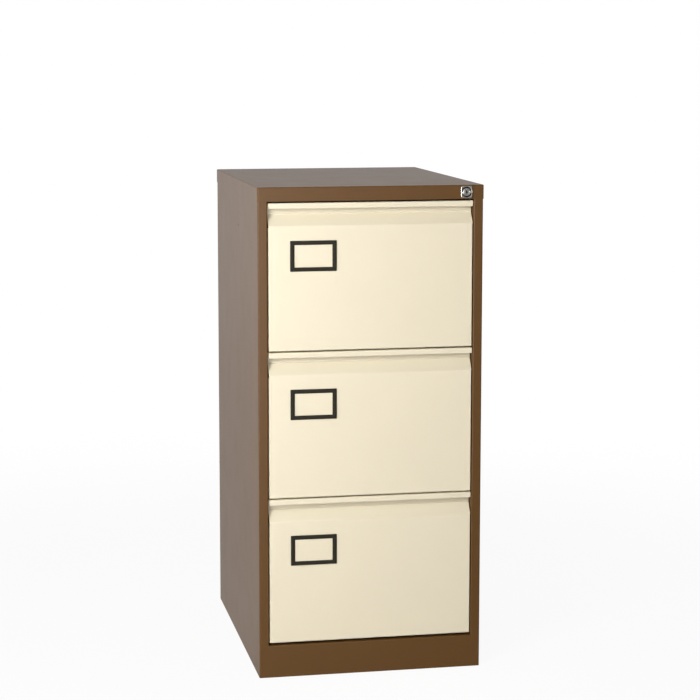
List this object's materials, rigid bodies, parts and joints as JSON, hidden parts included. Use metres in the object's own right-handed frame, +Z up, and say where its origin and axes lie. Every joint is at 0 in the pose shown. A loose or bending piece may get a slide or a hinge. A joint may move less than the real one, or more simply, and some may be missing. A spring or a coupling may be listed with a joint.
{
  "type": "filing cabinet",
  "caption": "Upright steel filing cabinet with flush drawers on telescopic slides, full-width finger recesses, label frames and a lock at the top right that holds the drawers shut.",
  "frame": {"origin": "on the floor, under the middle of the whole cabinet with its lock", "axes": "+X to the right of someone who faces the drawers, -Y the way the drawers open, +Z up"},
  "size_m": [0.47, 0.6266, 1.016],
  "materials": {
    "coffee_paint": "satin",
    "cream_paint": "satin",
    "zinc_plated_steel": "zinc",
    "cage_steel": "bright",
    "lock_metal": "satin chrome",
    "black_plastic": "satin",
    "buffer_rubber": "matt"
  },
  "bodies": {
    "cabinet": {"top_panel": "coffee_paint", "left_side_panel": "coffee_paint", "right_side_panel": "coffee_paint", "back_panel": "coffee_paint", "base_pan": "coffee_paint", "plinth": "coffee_paint", "header_rail": "coffee_paint", "front_posts": "zinc_plated_steel", "rear_posts": "zinc_plated_steel", "lock_housing": "lock_metal", "lock_nut": "zinc_plated_steel", "locking_bar_guides": "zinc_plated_steel", "slide_buffers": "buffer_rubber", "top_left_slide_cabinet_member": "zinc_plated_steel", "top_right_slide_cabinet_member": "zinc_plated_steel", "middle_left_slide_cabinet_member": "zinc_plated_steel", "middle_right_slide_cabinet_member": "zinc_plated_steel", "bottom_left_slide_cabinet_member": "zinc_plated_steel", "bottom_right_slide_cabinet_member": "zinc_plated_steel"},
    "lock": {"lock_barrel": "lock_metal", "lock_cam": "zinc_plated_steel"},
    "locking_bar": {"locking_bar": "zinc_plated_steel", "locking_bar_arm": "zinc_plated_steel", "locking_bar_hooks": "zinc_plated_steel"},
    "top_left_between_slide": {"top_left_slide_between_member": "zinc_plated_steel"},
    "top_right_between_slide": {"top_right_slide_between_member": "zinc_plated_steel"},
    "top_drawer": {"top_drawer_front": "cream_paint", "top_drawer_inner_front": "coffee_paint", "top_drawer_tray": "coffee_paint", "top_drawer_back": "coffee_paint", "top_drawer_label_frame": "black_plastic", "top_drawer_catch": "zinc_plated_steel", "top_left_slide_drawer_member": "zinc_plated_steel", "top_right_slide_drawer_member": "zinc_plated_steel"},
    "top_outer_ball_cages": {"top_slides_outer_ball_cages": "cage_steel"},
    "top_inner_ball_cages": {"top_slides_inner_ball_cages": "cage_steel"},
    "middle_left_between_slide": {"middle_left_slide_between_member": "zinc_plated_steel"},
    "middle_right_between_slide": {"middle_right_slide_between_member": "zinc_plated_steel"},
    "middle_drawer": {"middle_drawer_front": "cream_paint", "middle_drawer_inner_front": "coffee_paint", "middle_drawer_tray": "coffee_paint", "middle_drawer_back": "coffee_paint", "middle_drawer_label_frame": "black_plastic", "middle_drawer_catch": "zinc_plated_steel", "middle_left_slide_drawer_member": "zinc_plated_steel", "middle_right_slide_drawer_member": "zinc_plated_steel"},
    "middle_outer_ball_cages": {"middle_slides_outer_ball_cages": "cage_steel"},
    "middle_inner_ball_cages": {"middle_slides_inner_ball_cages": "cage_steel"},
    "bottom_left_between_slide": {"bottom_left_slide_between_member": "zinc_plated_steel"},
    "bottom_right_between_slide": {"bottom_right_slide_between_member": "zinc_plated_steel"},
    "bottom_drawer": {"bottom_drawer_front": "cream_paint", "bottom_drawer_inner_front": "coffee_paint", "bottom_drawer_tray": "coffee_paint", "bottom_drawer_back": "coffee_paint", "bottom_drawer_label_frame": "black_plastic", "bottom_drawer_catch": "zinc_plated_steel", "bottom_left_slide_drawer_member": "zinc_plated_steel", "bottom_right_slide_drawer_member": "zinc_plated_steel"},
    "bottom_outer_ball_cages": {"bottom_slides_outer_ball_cages": "cage_steel"},
    "bottom_inner_ball_cages": {"bottom_slides_inner_ball_cages": "cage_steel"}
  },
  "joints": [
    {"name": "lock_turn", "type": "hinge", "parent": "cabinet", "child": "lock", "pos_m": [0.1978, -0.30775, 1.0015], "axis": [0, 1, 0], "range_deg": [0, 90]},
    {"name": "locking_bar_drop", "type": "slide", "parent": "cabinet", "child": "locking_bar", "axis": [0, 0, -1], "range_m": [0, 0.0099]},
    {"name": "top_drawer_pull", "type": "slide", "parent": "cabinet", "child": "top_drawer", "axis": [0, -1, 0], "range_m": [0, 0.55]},
    {"name": "top_left_between_slide_travel", "type": "slide", "parent": "cabinet", "child": "top_left_between_slide", "axis": [0, -1, 0], "range_m": [0, 0.275]},
    {"name": "top_right_between_slide_travel", "type": "slide", "parent": "cabinet", "child": "top_right_between_slide", "axis": [0, -1, 0], "range_m": [0, 0.275]},
    {"name": "top_outer_ball_cages_travel", "type": "slide", "parent": "cabinet", "child": "top_outer_ball_cages", "axis": [0, -1, 0], "range_m": [0, 0.1375]},
    {"name": "top_inner_ball_cages_travel", "type": "slide", "parent": "cabinet", "child": "top_inner_ball_cages", "axis": [0, -1, 0], "range_m": [0, 0.4125]},
    {"name": "middle_drawer_pull", "type": "slide", "parent": "cabinet", "child": "middle_drawer", "axis": [0, -1, 0], "range_m": [0, 0.55]},
    {"name": "middle_left_between_slide_travel", "type": "slide", "parent": "cabinet", "child": "middle_left_between_slide", "axis": [0, -1, 0], "range_m": [0, 0.275]},
    {"name": "middle_right_between_slide_travel", "type": "slide", "parent": "cabinet", "child": "middle_right_between_slide", "axis": [0, -1, 0], "range_m": [0, 0.275]},
    {"name": "middle_outer_ball_cages_travel", "type": "slide", "parent": "cabinet", "child": "middle_outer_ball_cages", "axis": [0, -1, 0], "range_m": [0, 0.1375]},
    {"name": "middle_inner_ball_cages_travel", "type": "slide", "parent": "cabinet", "child": "middle_inner_ball_cages", "axis": [0, -1, 0], "range_m": [0, 0.4125]},
    {"name": "bottom_drawer_pull", "type": "slide", "parent": "cabinet", "child": "bottom_drawer", "axis": [0, -1, 0], "range_m": [0, 0.55]},
    {"name": "bottom_left_between_slide_travel", "type": "slide", "parent": "cabinet", "child": "bottom_left_between_slide", "axis": [0, -1, 0], "range_m": [0, 0.275]},
    {"name": "bottom_right_between_slide_travel", "type": "slide", "parent": "cabinet", "child": "bottom_right_between_slide", "axis": [0, -1, 0], "range_m": [0, 0.275]},
    {"name": "bottom_outer_ball_cages_travel", "type": "slide", "parent": "cabinet", "child": "bottom_outer_ball_cages", "axis": [0, -1, 0], "range_m": [0, 0.1375]},
    {"name": "bottom_inner_ball_cages_travel", "type": "slide", "parent": "cabinet", "child": "bottom_inner_ball_cages", "axis": [0, -1, 0], "range_m": [0, 0.4125]}
  ],
  "couplings": [
    {"joint": "lock_turn", "follows": "locking_bar_drop", "rad_per_m": 158.67},
    {"joint": "top_left_between_slide_travel", "follows": "top_drawer_pull", "ratio": 0.5},
    {"joint": "top_right_between_slide_travel", "follows": "top_drawer_pull", "ratio": 0.5},
    {"joint": "top_outer_ball_cages_travel", "follows": "top_drawer_pull", "ratio": 0.25},
    {"joint": "top_inner_ball_cages_travel", "follows": "top_drawer_pull", "ratio": 0.75},
    {"joint": "middle_left_between_slide_travel", "follows": "middle_drawer_pull", "ratio": 0.5},
    {"joint": "middle_right_between_slide_travel", "follows": "middle_drawer_pull", "ratio": 0.5},
    {"joint": "middle_outer_ball_cages_travel", "follows": "middle_drawer_pull", "ratio": 0.25},
    {"joint": "middle_inner_ball_cages_travel", "follows": "middle_drawer_pull", "ratio": 0.75},
    {"joint": "bottom_left_between_slide_travel", "follows": "bottom_drawer_pull", "ratio": 0.5},
    {"joint": "bottom_right_between_slide_travel", "follows": "bottom_drawer_pull", "ratio": 0.5},
    {"joint": "bottom_outer_ball_cages_travel", "follows": "bottom_drawer_pull", "ratio": 0.25},
    {"joint": "bottom_inner_ball_cages_travel", "follows": "bottom_drawer_pull", "ratio": 0.75}
  ]
}
